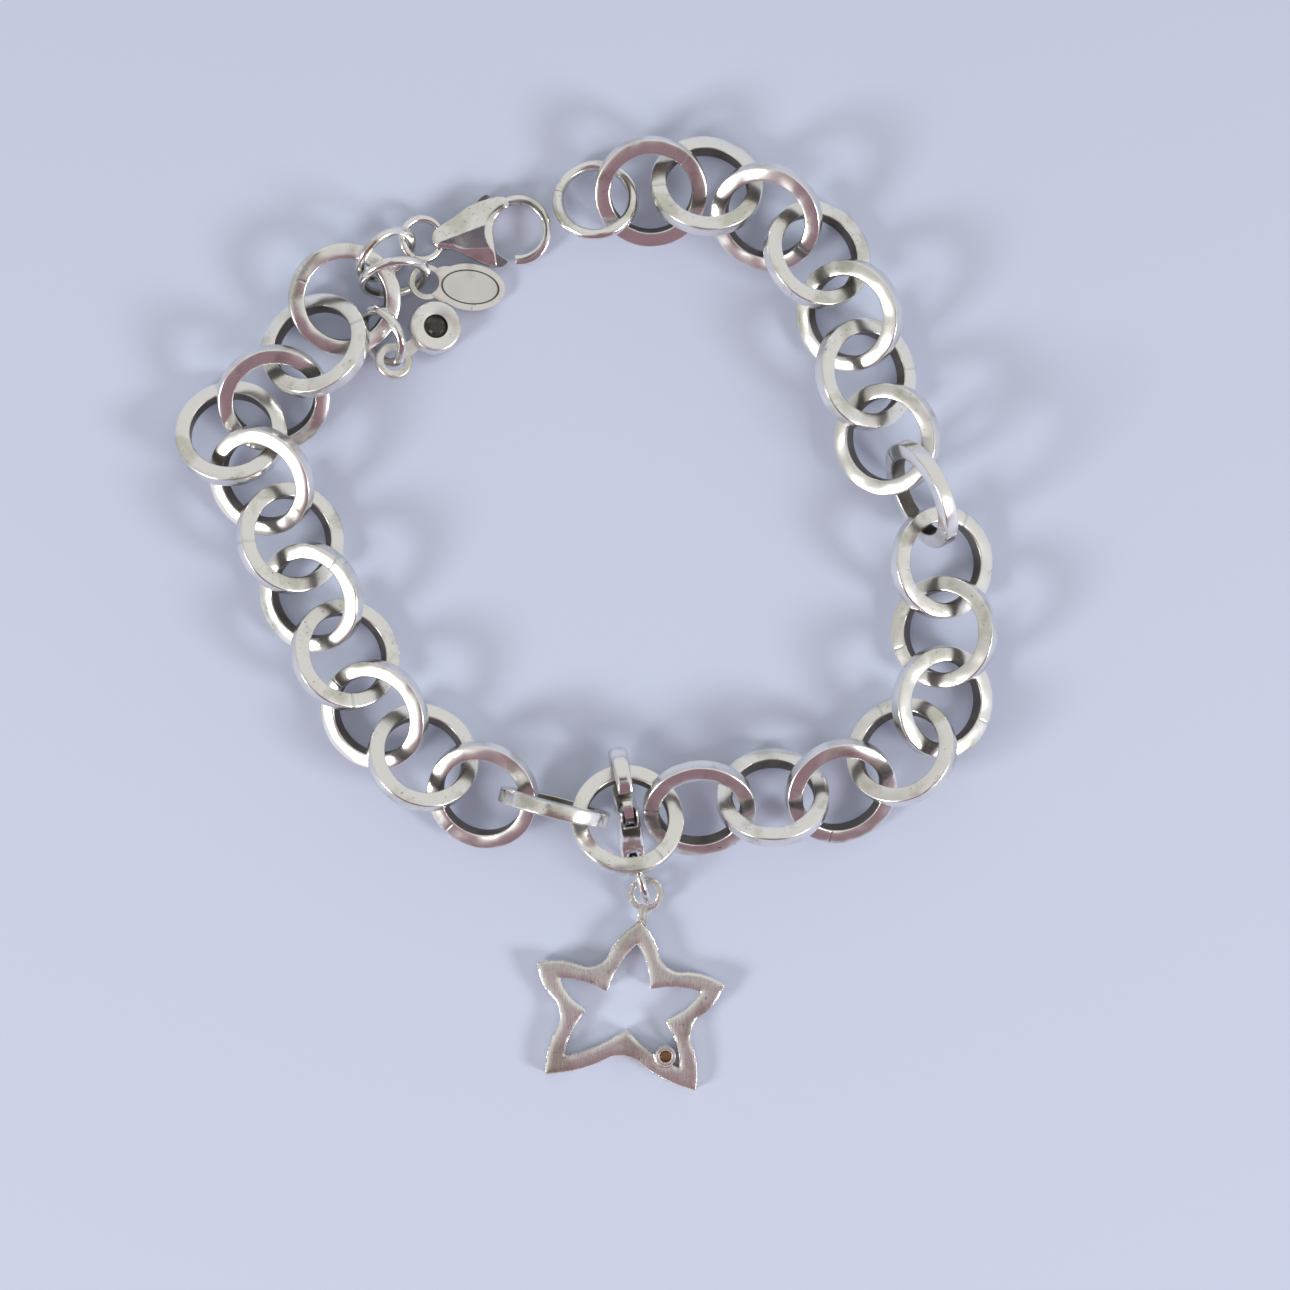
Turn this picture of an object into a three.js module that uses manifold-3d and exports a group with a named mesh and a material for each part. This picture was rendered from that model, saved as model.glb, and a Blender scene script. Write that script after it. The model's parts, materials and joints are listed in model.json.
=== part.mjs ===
// A silver charm bracelet, laid open on a table. Round links of square wire make the chain. A trigger clasp
// ends it at one side and a plain round ring at the other. An open star hangs from one link by a second
// trigger clasp, and an oval tag and a stone in a round bezel hang beside the main clasp.
// Millimetres and degrees. X is to the right, Y is away from the viewer and Z is up from the table.
import * as THREE from "three";
import { mergeVertices } from "three/addons/utils/BufferGeometryUtils.js";
import Module from "manifold-3d";

const { degToRad } = THREE.MathUtils;

// Chain links
const LINK_DIAMETER = 8.5;
const LINK_WIRE_WIDTH = 1.15; // across the face, from the hole to the rim
const LINK_WIRE_HEIGHT = 1.3; // along the ring's axis
const LINK_SIDES = 16;
const FEWEST_SIDES = 12; // of any other round shape
const FACET_WIDTH = 0.5; // of a larger one

// Rings of round wire: diameter is the outer one
const END_RING = { diameter: 6.6, wire: 0.88 };
const JOINING_RING = { diameter: 5.3, wire: 0.66 };
const CLASP_RING = { diameter: 3.7, wire: 0.6 };
const TAG_RING = { diameter: 5.55, wire: 0.75 };
const BEZEL_RING = { diameter: 5.05, wire: 0.78 };
const CHARM_RING = { diameter: 4.2, wire: 0.65 };
const RING_SIDES = 16;
const WIRE_SIDES = 6;
const HOLE_CLEARANCE = 0.23; // between a ring's wire and the hole it passes through
const HOLE_SLACK = 0.08; // how far inside the hole's middle the curved wire lies

// Trigger clasp, from the end of its tail at x 0 to the end of its hook, with its thumb piece towards y
const CLASP_LENGTH = 9.1;
const CLASP_WIDTH = 5.3;
const CLASP_THICKNESS = 1.85;
const HOOK_THICKNESS = 1.35;
const HOOK_LENGTH = 4.95;
const HOOK_HOLE_DIAMETER = 3.8;
const HOOK_END_WALL = 0.64;
const HOOK_SIDE_WALL = 0.75;
const GATE_OPENING = 1.4;
const TAIL_HOLE_EDGE = 0.2; // metal left between the ring's hole and the tail's end
const LEVER_THICKNESS = 0.8;
const LEVER_CLEARANCE = 0.1;
const LEVER_OPEN = 25;
const LEVER_SWEEP_STEP = 4; // between the cuts that clear the lever's swing, which run one step past both stops
const PIVOT_ALONG = 0.4; // shares of the clasp's length and width
const PIVOT_ACROSS = -0.06;
const PIVOT_DIAMETER = 0.6;
const PIVOT_CLEARANCE = 0.08;
const EDGE_ROUND = 0.3;

// Tag
const TAG_LENGTH = 5.3;
const TAG_WIDTH = 3.5;
const TAG_THICKNESS = 0.75;
const TAG_BORDER = 0.5;
const TAG_RECESS = 0.12;
const TAG_EYE_RIM = 0.38;
const TAG_EYE_HOLE = 1.85;
const TAG_BRIDGE = 0.22; // between the eye's hole and the recess

// Stone drop
const BEZEL_DIAMETER = 3.88;
const BEZEL_HEIGHT = 1.8;
const BEZEL_STONE_DIAMETER = 1.76;
const BEZEL_STONE_DEPTH = 0.9;
const BEZEL_EYE_HOLE = 1.66;
const BEZEL_EYE_RIM = 0.58;
const BEZEL_EYE_THICKNESS = 0.8;
const BEZEL_NECK = 0.58; // between the eye's rim and the bezel's

// Star charm
const STAR_THICKNESS = 1.2;
const STAR_FRAME_AT_TIPS = 1;
const STAR_FRAME_AT_NOTCHES = 1.65;
const STAR_TIP_ROUND = 0.4;
const STAR_NOTCH_ROUND = 1;
const STAR_OPENING_ROUND = 0.15;
const STAR_SIDE_BOW = 0.27; // how far each side swells out from a straight line
const STAR_CURVE_STEPS = 4;
const STAR_EYE_HOLE = 1.7;
const STAR_EYE_RIM = 0.48;
const STAR_EYE_THICKNESS = 0.7;
const STAR_EYE_BEARING = 81;
const STAR_NECK = 0.7;
const STAR_NECK_LENGTH = 0.6; // between the arm's tip and the eye's rim
const STAR_BEZEL_DIAMETER = 1.6;
const STAR_BEZEL_REACH = 4.45; // from the star's centre
const STAR_BEZEL_HEIGHT = 0.5; // above the star's face
const STAR_STONE_DIAMETER = 0.8;
const STAR_STONE_DEPTH = 0.4;
const STONE_CLEARANCE = 0.05;
const STONE_FACETS = 8;
const STONE_TABLE = 0.6; // shares of the stone's radius
const STONE_FOOT = 0.5;
const STONE_RIM = 0.4; // how deep the stone's widest line lies, as a share of its depth

// Each arm of the star: the bearing and reach of its tip, then those of the notch after it, going round from
// the arm under the eye towards X.
const STAR_ARMS = [
  { tip: 82, reach: 6.9, notch: 47, depth: 4.18 },
  { tip: 15, reach: 7.7, notch: -16, depth: 4.79 },
  { tip: -50, reach: 8.1, notch: -95, depth: 3.27 },
  { tip: -142, reach: 7.95, notch: -178, depth: 4.88 },
  { tip: 152, reach: 7.85, notch: 125, depth: 3.88 },
];

// The reference photograph looks straight down. Its places are pixels from its top left corner.
const PHOTO_CENTRE = 645;
const LINK_PIXELS = 113; // a link's diameter in the photograph
const CAMERA_HEIGHT = 420;

// Where each link's centre lies in the photograph, and which way the link leans: low is the bearing of the side
// that lies lowest, counted from X towards Y, and tilt is how far its face leans from level. lift raises a link
// that lies on its neighbours.
const CHAIN_ROUTE = [
  { px: 651, py: 191.5, low: -86, tilt: 22, lift: 0.1 },
  { px: 706.5, py: 186, low: 80, tilt: 30 },
  { px: 766.5, py: 217, low: -122, tilt: 31 },
  { px: 817, py: 254.5, low: 38, tilt: 29 },
  { px: 849, py: 315.5, low: -160, tilt: 30 },
  { px: 866, py: 374, low: 13, tilt: 31 },
  { px: 887, py: 439, low: -169, tilt: 29, lift: 0.55 },
  { px: 921.5, py: 494, low: -155, tilt: 70 },
  { px: 942, py: 562.5, low: 4, tilt: 28 },
  { px: 944, py: 632, low: 180, tilt: 28 },
  { px: 942.5, py: 702, low: -8, tilt: 30 },
  { px: 901.5, py: 751.5, low: 133, tilt: 30, lift: 0.35 },
  { px: 841, py: 791, low: -64, tilt: 30 },
  { px: 773, py: 797.3, low: 92, tilt: 37 },
  { px: 699.5, py: 808.5, low: -85, tilt: 37, lift: 0.3 },
  { px: 627.3, py: 820, low: 77, tilt: 20, lift: 1.7 },
  { px: 554, py: 807, low: 76, tilt: 88 },
  { px: 482.5, py: 795, low: -119, tilt: 26, lift: 0.3 },
  { px: 423, py: 757, low: 54, tilt: 29, lift: 0.1 },
  { px: 374.5, py: 714.5, low: -142, tilt: 27 },
  { px: 345.5, py: 654.5, low: 30, tilt: 28 },
  { px: 311, py: 597, low: -150, tilt: 30 },
  { px: 290.5, py: 538, low: 21, tilt: 28 },
  { px: 261.5, py: 480.5, low: -139, tilt: 32, lift: 0.3 },
  { px: 231.5, py: 433, low: 98, tilt: 25 },
  { px: 273.5, py: 398.5, low: -72, tilt: 28 },
  { px: 315, py: 345.5, low: 126, tilt: 32 },
  { px: 344.5, py: 299, low: -34, tilt: 12, lift: 0.8 },
];
const END_RING_PLACE = { px: 595.5, py: 200, low: 100, tilt: 20, lift: 0.3 };

// How each ring hangs from a link. on is the bearing, from the link's centre, of the wire that it goes round.
// out is how far the ring's centre lies outside that wire. heading and rise aim the ring, and lean turns it
// from upright.
const JOINING_RING_HANG = { on: 46.7, out: 0.87, heading: 20, rise: -31, lean: -35 };
const TAG_RING_HANG = { on: 22.2, out: 0.42, heading: 8, rise: -9, lean: -26 };
const BEZEL_RING_HANG = { on: -44.3, out: 0.39, heading: -65, rise: -4, lean: -35.5 };

// How each piece hangs in its ring. bearing is where its hole lies from the ring's centre. reach is how far, as
// a share of the ring's radius. heading is where the piece points, and slope is how far it goes down.
const CLASP_RING_HANG = { bearing: 25, reach: 1.27, heading: 1, slope: 16 };
const CLASP_HEADING = 6.5; // where the main clasp's hook points
const TAG_HANG = { bearing: -5, reach: 0.98, heading: -7, slope: 11.5 };
const BEZEL_HANG = { bearing: -66, reach: 0.94, heading: 39.5, slope: 13.7 };

// The star's clasp stands on its edge with its gate up and hooks over its link's low side
const CARRIER_LINK = 16;
const CARRIER_HEADING = 98.5;
const CARRIER_PITCH = 10;
const CARRIER_LEAN = 4;
const CARRIER_HANG = { along: 0.4, above: 0.85, across: 0.05 };
const CHARM_RING_HEADING = -72;
const STAR_SLOPE = 2.2; // the star's far arms lie on the table and its eye on its ring

const wasm = await Module();
wasm.setup();
const millimetresPerPixel = LINK_DIAMETER / LINK_PIXELS;

const silver = { color: 0xd6d2ca, roughness: 0.25, metalness: 1 };
const brushedSilver = { color: 0xcfcbc4, roughness: 0.4, metalness: 1 };
const darkStone = { color: 0x1c1210, roughness: 0.08, metalness: 0 };
const brownStone = { color: 0x6b3a1e, roughness: 0.08, metalness: 0 };

const bracelet = new THREE.Group();

function add(name, geometry, look, matrix = new THREE.Matrix4()) {
  const mesh = new THREE.Mesh(geometry, new THREE.MeshStandardMaterial(look));
  mesh.name = name;
  matrix.decompose(mesh.position, mesh.quaternion, mesh.scale);
  bracelet.add(mesh);
}

// Closed solids from three.js geometry and back

function toSolid(geometry) {
  const bare = new THREE.BufferGeometry();
  bare.setAttribute("position", geometry.getAttribute("position"));
  bare.setIndex(geometry.getIndex());
  const merged = mergeVertices(bare, 1e-4);
  return new wasm.Manifold(
    new wasm.Mesh({
      numProp: 3,
      vertProperties: merged.getAttribute("position").array,
      triVerts: new Uint32Array(merged.getIndex().array),
    }),
  );
}

function toGeometry(solid) {
  const { vertProperties, triVerts } = solid.getMesh();
  const geometry = new THREE.BufferGeometry();
  geometry.setAttribute("position", new THREE.BufferAttribute(vertProperties, 3));
  geometry.setIndex(new THREE.BufferAttribute(triVerts, 1));
  return geometry;
}

function joined(geometries) {
  return geometries.map(toSolid).reduce((whole, piece) => whole.add(piece));
}

function sidesOf(radius) {
  return Math.max(FEWEST_SIDES, Math.round((2 * Math.PI * radius) / FACET_WIDTH));
}

// A flat outline given thickness, with its middle at z 0. round is its edges' rounding, growth moves its sides
// outwards, and steps is how many lines each of its curves becomes.
function slab(shape, thickness, { round = 0, growth = 0, steps = 1 } = {}) {
  const geometry = new THREE.ExtrudeGeometry(shape, {
    depth: thickness - 2 * round,
    bevelEnabled: round > 0 || growth > 0,
    bevelThickness: round,
    bevelSize: round,
    bevelOffset: growth - round,
    bevelSegments: round > 0 ? 2 : 0,
    curveSegments: steps,
  });
  return geometry.translate(0, 0, round - thickness / 2);
}

function disc(radius, thickness, x = 0, y = 0) {
  const geometry = new THREE.CylinderGeometry(radius, radius, thickness, sidesOf(radius));
  return geometry.rotateX(Math.PI / 2).translate(x, y, 0);
}

function oval(length, width, thickness) {
  const geometry = new THREE.CylinderGeometry(1, 1, thickness, sidesOf(length / 2));
  return geometry.rotateX(Math.PI / 2).scale(length / 2, width / 2, 1);
}

// Rings

// A ring of square wire about Z, with a corner of its rim on X.
function squareRing(diameter, width, height, sides) {
  const outer = diameter / 2;
  const inner = outer - width;
  const section = [
    [inner, -height / 2],
    [outer, -height / 2],
    [outer, height / 2],
    [inner, height / 2],
    [inner, -height / 2],
  ].map(([x, y]) => new THREE.Vector2(x, y));
  return new THREE.LatheGeometry(section, sides, Math.PI / 2).rotateX(Math.PI / 2);
}

function middle({ diameter, wire }) {
  return (diameter - wire) / 2;
}

function wireRing(ring) {
  return new THREE.TorusGeometry(middle(ring), ring.wire / 2, WIRE_SIDES, RING_SIDES);
}

// Places

// The place at a height above the table that the photograph shows at a pixel.
function placeAt(px, py, height) {
  const shrink = (millimetresPerPixel * (CAMERA_HEIGHT - height)) / CAMERA_HEIGHT;
  return new THREE.Vector3((px - PHOTO_CENTRE) * shrink, (PHOTO_CENTRE - py) * shrink, height);
}

// A frame at a point whose X goes along heading and rise. lean turns it about its X from an upright ring, whose
// Z is level, towards a lying one.
function aimed(point, heading, rise, lean) {
  const bearing = degToRad(heading);
  const climb = degToRad(rise);
  const roll = degToRad(lean);
  const level = Math.cos(climb);
  const forward = new THREE.Vector3(Math.cos(bearing) * level, Math.sin(bearing) * level, Math.sin(climb));
  const left = new THREE.Vector3(-Math.sin(bearing), Math.cos(bearing), 0);
  const over = forward.clone().cross(left);
  const axis = left.multiplyScalar(Math.cos(roll)).addScaledVector(over, Math.sin(roll));
  const frame = new THREE.Matrix4().makeBasis(forward, axis.clone().cross(forward), axis);
  return frame.setPosition(point);
}

// Turns a level ring so that its side at the bearing low goes down by tilt, and rests it on the table.
function lying(row, diameter, height) {
  const tilt = degToRad(row.tilt);
  const rest = (diameter / 2) * Math.sin(tilt) + (height / 2) * Math.cos(tilt) + (row.lift ?? 0);
  return aimed(placeAt(row.px, row.py, rest), row.low, -row.tilt, 90);
}

function pointIn(frame, x, y, z) {
  return new THREE.Vector3(x, y, z).applyMatrix4(frame);
}

// Chain

const links = CHAIN_ROUTE.map((row) => lying(row, LINK_DIAMETER, LINK_WIRE_HEIGHT));

function chain() {
  const shape = squareRing(LINK_DIAMETER, LINK_WIRE_WIDTH, LINK_WIRE_HEIGHT, LINK_SIDES);
  links.forEach((frame, index) => add(`link_${String(index + 1).padStart(2, "0")}`, shape, silver, frame));
  add("end_ring", wireRing(END_RING), silver, lying(END_RING_PLACE, END_RING.diameter, END_RING.wire));
}

// The middle of a link's wire at a bearing from the link's centre.
function wirePoint(number, bearing) {
  const reach = (LINK_DIAMETER - LINK_WIRE_WIDTH) / 2;
  const turn = degToRad(bearing - CHAIN_ROUTE[number - 1].low);
  return pointIn(links[number - 1], reach * Math.cos(turn), reach * Math.sin(turn), 0);
}

// A ring that goes round a link's wire and stands on the table.
function hung(ring, number, hang) {
  const point = wirePoint(number, hang.on);
  const frame = aimed(point, hang.heading, hang.rise, hang.lean);
  const axisRise = frame.elements[10];
  const outward = new THREE.Vector3(Math.cos(degToRad(hang.on)), Math.sin(degToRad(hang.on)), 0);
  point.addScaledVector(outward, hang.out);
  point.z = middle(ring) * Math.sqrt(1 - axisRise ** 2) + ring.wire / 2;
  return frame.setPosition(point);
}

// The place of a piece's hole beside the centre of the ring that it hangs in.
function beside(frame, ring, hang, height) {
  const centre = pointIn(frame, 0, 0, 0);
  return pointIn(aimed(centre, hang.bearing, 0, 90), middle(ring) * hang.reach, 0, 0).setZ(height);
}

// Trigger clasp

const pivot = { x: PIVOT_ALONG * CLASP_LENGTH, y: PIVOT_ACROSS * CLASP_WIDTH };
const hookHole = {
  x: CLASP_LENGTH - HOOK_END_WALL - HOOK_HOLE_DIAMETER / 2,
  y: HOOK_SIDE_WALL + HOOK_HOLE_DIAMETER / 2 - CLASP_WIDTH / 2,
};
const gateStart = hookHole.x - HOOK_HOLE_DIAMETER / 2;
const gateEnd = gateStart + GATE_OPENING;

// Outlines as shares of the clasp's length and half its width
const CLASP_BODY_OUTLINE = [
  [0, 0],
  [0.03, 0.25],
  [0.2, 0.56],
  [0.34, 0.83],
  [0.5, 0.97],
  [0.64, 0.97],
  [0.66, 0.5],
  [0.66, -0.8],
  [0.56, -0.96],
  [0.47, -0.94],
  [0.41, -0.86],
  [0.31, -0.65],
  [0.17, -0.37],
  [0.03, -0.25],
];
const LEVER_OUTLINE = [
  [0.535, 1.02],
  [0.5, 1.12],
  [0.45, 1.07],
  [0.385, 0.85],
  [0.34, 0.3],
  [0.33, -0.2],
  [0.36, -0.6],
  [0.455, -0.95],
  [0.55, -1.02],
  [0.6, -0.93],
  [0.615, -0.83],
  [0.56, -0.68],
  [0.52, -0.5],
  [0.488, -0.1],
  [0.475, 0.4],
  [0.485, 0.88],
];

function claspOutline(shares) {
  const points = shares.map(([x, y]) => new THREE.Vector2(x * CLASP_LENGTH, (y * CLASP_WIDTH) / 2));
  const curve = new THREE.SplineCurve([...points, points[0]]);
  return new THREE.Shape(curve.getPoints(2 * points.length).slice(0, -1));
}

// The lever's blank turned about its pivot.
function leverBlank(thickness, opening, growth) {
  const blank = slab(claspOutline(LEVER_OUTLINE), thickness, { growth }).translate(-pivot.x, -pivot.y, 0);
  return blank.rotateZ(degToRad(opening)).translate(pivot.x, pivot.y, 0);
}

function claspBody(ring) {
  const hook = new THREE.Shape();
  hook.absellipse(CLASP_LENGTH - HOOK_LENGTH / 2, 0, HOOK_LENGTH / 2, CLASP_WIDTH / 2);
  const body = slab(claspOutline(CLASP_BODY_OUTLINE), CLASP_THICKNESS, { round: EDGE_ROUND });
  const hookSlab = slab(hook, HOOK_THICKNESS, { round: EDGE_ROUND, steps: sidesOf(HOOK_LENGTH / 2) });
  let solid = toSolid(body).add(toSolid(hookSlab));
  solid = solid.subtract(toSolid(disc(HOOK_HOLE_DIAMETER / 2, 2 * CLASP_THICKNESS, hookHole.x, hookHole.y)));
  const gate = new THREE.BoxGeometry(GATE_OPENING, CLASP_WIDTH, 2 * CLASP_THICKNESS);
  solid = solid.subtract(toSolid(gate.translate((gateStart + gateEnd) / 2, hookHole.y - CLASP_WIDTH / 2, 0)));
  const slot = LEVER_THICKNESS + 2 * LEVER_CLEARANCE;
  const step = LEVER_SWEEP_STEP;
  for (let opening = -step; opening <= LEVER_OPEN + step; opening += step) {
    solid = solid.subtract(toSolid(leverBlank(slot, opening, LEVER_CLEARANCE)));
  }
  solid = solid.add(toSolid(disc(PIVOT_DIAMETER / 2, CLASP_THICKNESS - EDGE_ROUND, pivot.x, pivot.y)));
  const radius = ring.wire / 2 + HOLE_CLEARANCE;
  const hole = new THREE.CylinderGeometry(radius, radius, CLASP_WIDTH, sidesOf(radius));
  solid = solid.subtract(toSolid(hole.translate(tailHoleX(ring), 0, 0)));
  return toGeometry(solid);
}

function tailHoleX(ring) {
  return TAIL_HOLE_EDGE + HOLE_CLEARANCE + ring.wire / 2;
}

function claspLever() {
  const radius = PIVOT_DIAMETER / 2 + PIVOT_CLEARANCE;
  const hole = disc(radius, 2 * LEVER_THICKNESS, pivot.x, pivot.y);
  return toGeometry(toSolid(leverBlank(LEVER_THICKNESS, 0, 0)).subtract(toSolid(hole)));
}

function clasp(name, frame, ring) {
  add(`${name}_body`, claspBody(ring), silver, frame);
  add(`${name}_lever`, claspLever(), silver, frame);
}

// Main clasp, on two rings

function mainClasp() {
  const joining = hung(JOINING_RING, links.length, JOINING_RING_HANG);
  add("joining_ring", wireRing(JOINING_RING), silver, joining);
  const tailHeight = CLASP_THICKNESS / 2;
  const height = tailHeight + middle(CLASP_RING) * Math.sin(degToRad(CLASP_RING_HANG.slope));
  const centre = beside(joining, JOINING_RING, CLASP_RING_HANG, height);
  const ring = aimed(centre, CLASP_RING_HANG.heading, -CLASP_RING_HANG.slope, 90);
  add("clasp_ring", wireRing(CLASP_RING), silver, ring);
  const tail = aimed(pointIn(ring, middle(CLASP_RING), 0, 0), CLASP_HEADING, 0, 90);
  clasp("clasp", tail.setPosition(pointIn(tail, -tailHoleX(CLASP_RING) - HOLE_SLACK, 0, 0)), CLASP_RING);
}

// Tag

function tagPlate() {
  const recessLength = TAG_LENGTH - 2 * TAG_BORDER;
  const recessWidth = TAG_WIDTH - 2 * TAG_BORDER;
  const centre = TAG_EYE_HOLE / 2 + TAG_BRIDGE + recessLength / 2;
  const plate = oval(TAG_LENGTH, TAG_WIDTH, TAG_THICKNESS);
  const recess = oval(recessLength, recessWidth, TAG_RECESS);
  const eye = disc(TAG_EYE_HOLE / 2 + TAG_EYE_RIM, TAG_THICKNESS);
  return toGeometry(
    toSolid(plate.translate(centre, 0, 0))
      .add(toSolid(eye))
      .subtract(toSolid(disc(TAG_EYE_HOLE / 2, 2 * TAG_THICKNESS)))
      .subtract(toSolid(recess.translate(centre, 0, (TAG_THICKNESS - TAG_RECESS) / 2))),
  );
}

function tag() {
  const ring = hung(TAG_RING, links.length, TAG_RING_HANG);
  add("tag_ring", wireRing(TAG_RING), silver, ring);
  const slope = degToRad(TAG_HANG.slope);
  const length = TAG_EYE_HOLE / 2 + TAG_BRIDGE + TAG_LENGTH - TAG_BORDER;
  const height = length * Math.sin(slope) + (TAG_THICKNESS / 2) * Math.cos(slope);
  const eye = beside(ring, TAG_RING, TAG_HANG, height);
  add("tag", tagPlate(), silver, aimed(eye, TAG_HANG.heading, -TAG_HANG.slope, 90));
}

// A stone with a flat table on top, facets down to its rim and a blunt foot, with its top at z 0.
function stone(diameter, depth) {
  const radius = diameter / 2;
  const profile = [
    [0, -depth],
    [radius * STONE_FOOT, -depth],
    [radius, -depth * STONE_RIM],
    [radius * STONE_TABLE, 0],
    [0, 0],
  ].map(([x, y]) => new THREE.Vector2(x, y));
  return new THREE.LatheGeometry(profile, STONE_FACETS).rotateX(Math.PI / 2);
}

// Stone drop

function bezelDrop() {
  const radius = BEZEL_DIAMETER / 2;
  const seat = BEZEL_STONE_DIAMETER / 2 + STONE_CLEARANCE;
  const floor = BEZEL_HEIGHT - BEZEL_STONE_DEPTH - STONE_CLEARANCE;
  const round = EDGE_ROUND;
  const profile = [
    [0, 0],
    [radius - round, 0],
    [radius, round],
    [radius, BEZEL_HEIGHT - 2 * round],
    [radius - round, BEZEL_HEIGHT - round / 2],
    [(radius + seat) / 2, BEZEL_HEIGHT],
    [seat, BEZEL_HEIGHT - round],
    [seat, floor],
    [0, floor],
  ].map(([x, y]) => new THREE.Vector2(x, y));
  const eyeRadius = BEZEL_EYE_HOLE / 2 + BEZEL_EYE_RIM;
  const reach = eyeRadius + BEZEL_NECK + radius;
  const bottom = -BEZEL_EYE_THICKNESS / 2;
  const bezel = new THREE.LatheGeometry(profile, sidesOf(radius)).rotateX(Math.PI / 2);
  const neck = new THREE.BoxGeometry(BEZEL_NECK + 2 * round, 2 * BEZEL_NECK, BEZEL_EYE_THICKNESS);
  const solid = joined([
    bezel.translate(reach, 0, bottom),
    disc(eyeRadius, BEZEL_EYE_THICKNESS),
    neck.translate(eyeRadius + BEZEL_NECK / 2, 0, 0),
  ]).subtract(toSolid(disc(BEZEL_EYE_HOLE / 2, 2 * BEZEL_EYE_THICKNESS)));

  const ring = hung(BEZEL_RING, links.length, BEZEL_RING_HANG);
  add("bezel_ring", wireRing(BEZEL_RING), silver, ring);
  const slope = degToRad(BEZEL_HANG.slope);
  const height = (reach + radius) * Math.sin(slope) - bottom * Math.cos(slope);
  const eye = beside(ring, BEZEL_RING, BEZEL_HANG, height);
  const frame = aimed(eye, BEZEL_HANG.heading, -BEZEL_HANG.slope, 90);
  add("bezel_charm", toGeometry(solid), silver, frame);
  const top = bottom + BEZEL_HEIGHT - round / 2;
  const gem = stone(BEZEL_STONE_DIAMETER, BEZEL_STONE_DEPTH - round / 2).translate(reach, 0, top);
  add("bezel_stone", gem, darkStone, frame);
}

// Star charm

// The star's corners moved inwards by the frame's width along each side's normal.
function inset(corners) {
  return corners.map((point, index) => {
    const before = corners[(index + corners.length - 1) % corners.length];
    const after = corners[(index + 1) % corners.length];
    const arriving = point.clone().sub(before).normalize();
    const leaving = after.clone().sub(point).normalize();
    const inward = new THREE.Vector2(-arriving.y - leaving.y, arriving.x + leaving.x).normalize();
    const spread = inward.dot(new THREE.Vector2(-arriving.y, arriving.x));
    const width = index % 2 === 0 ? STAR_FRAME_AT_TIPS : STAR_FRAME_AT_NOTCHES;
    return point.clone().addScaledVector(inward, width / spread);
  });
}

function polar(bearing, reach) {
  return new THREE.Vector2(Math.cos(degToRad(bearing)) * reach, Math.sin(degToRad(bearing)) * reach);
}

// The outline through the star's corners, which go round anticlockwise and alternate between tips and notches.
// Each corner is rounded, and each side is bowed outwards.
function bowedStar(corners, tipRound, notchRound) {
  const shape = new THREE.Shape();
  const sides = corners.map((point, index) => {
    const after = corners[(index + 1) % corners.length];
    const along = after.clone().sub(point).normalize();
    const [first, last] = index % 2 === 0 ? [tipRound, notchRound] : [notchRound, tipRound];
    const start = point.clone().addScaledVector(along, first);
    const end = after.clone().addScaledVector(along, -last);
    const bow = start.clone().add(end).multiplyScalar(1 / 2);
    bow.add(new THREE.Vector2(along.y, -along.x).multiplyScalar(2 * STAR_SIDE_BOW));
    return { start, bow, end, after };
  });
  shape.moveTo(sides[0].start.x, sides[0].start.y);
  sides.forEach(({ bow, end, after }, index) => {
    const next = sides[(index + 1) % sides.length].start;
    shape.quadraticCurveTo(bow.x, bow.y, end.x, end.y);
    shape.quadraticCurveTo(after.x, after.y, next.x, next.y);
  });
  return shape;
}

const starEyeRadius = STAR_EYE_HOLE / 2 + STAR_EYE_RIM;
const starEyeReach = STAR_ARMS[0].reach + STAR_NECK_LENGTH + starEyeRadius;
const starEye = polar(STAR_EYE_BEARING, starEyeReach);

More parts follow.
